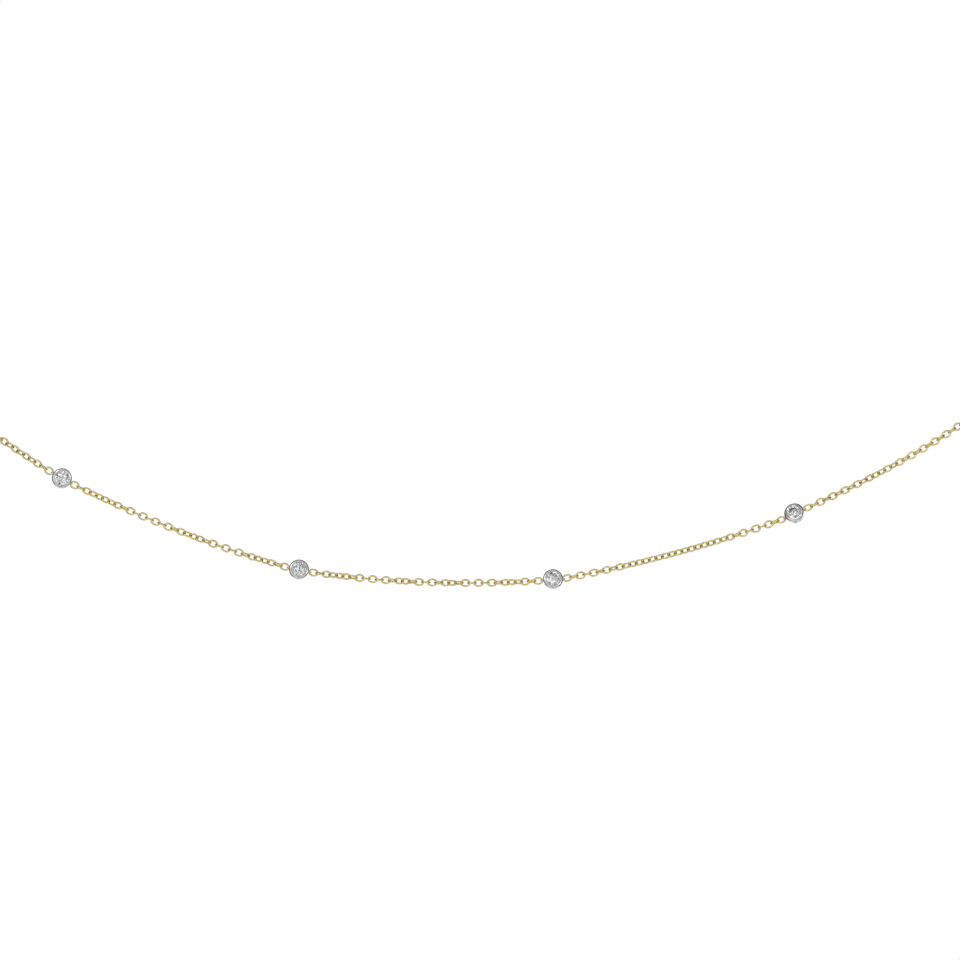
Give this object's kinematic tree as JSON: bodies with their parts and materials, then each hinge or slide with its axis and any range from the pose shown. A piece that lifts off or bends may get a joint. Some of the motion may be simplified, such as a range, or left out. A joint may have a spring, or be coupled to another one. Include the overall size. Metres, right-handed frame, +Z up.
{
  "type": "diamond station necklace",
  "caption": "Fine yellow-gold cable-chain necklace in one closed loop as worn, with round brilliant diamonds in plain white-metal bezels set into the chain at even spacing.",
  "frame": {"origin": "on the chain's centre line at the back of the neck, in the middle of the loop's back", "axes": "+X to the viewer's right as the necklace is seen from the front, +Y towards the back, +Z up; the front of the loop hangs in the plane y = -0.1006 m"},
  "size_m": [0.1452, 0.1021, 0.0812],
  "materials": {
    "white_gold": "polished",
    "diamond": "clear, faceted",
    "yellow_gold": "polished"
  },
  "bodies": {
    "root": {"bezel_01": "white_gold", "bezel_02": "white_gold", "bezel_03": "white_gold", "bezel_04": "white_gold", "bezel_05": "white_gold", "bezel_06": "white_gold", "bezel_07": "white_gold", "bezel_08": "white_gold", "bezel_09": "white_gold", "bezel_10": "white_gold", "bezel_11": "white_gold", "bezel_12": "white_gold", "bezel_13": "white_gold", "bezel_14": "white_gold", "stone_01": "diamond", "stone_02": "diamond", "stone_03": "diamond", "stone_04": "diamond", "stone_05": "diamond", "stone_06": "diamond", "stone_07": "diamond", "stone_08": "diamond", "stone_09": "diamond", "stone_10": "diamond", "stone_11": "diamond", "stone_12": "diamond", "stone_13": "diamond", "stone_14": "diamond", "chain_01": "yellow_gold", "chain_02": "yellow_gold", "chain_03": "yellow_gold", "chain_04": "yellow_gold", "chain_05": "yellow_gold", "chain_06": "yellow_gold", "chain_07": "yellow_gold", "chain_08": "yellow_gold", "chain_09": "yellow_gold", "chain_10": "yellow_gold", "chain_11": "yellow_gold", "chain_12": "yellow_gold", "chain_13": "yellow_gold", "chain_14": "yellow_gold", "chain_15": "yellow_gold", "clasp": "yellow_gold"}
  },
  "joints": []
}
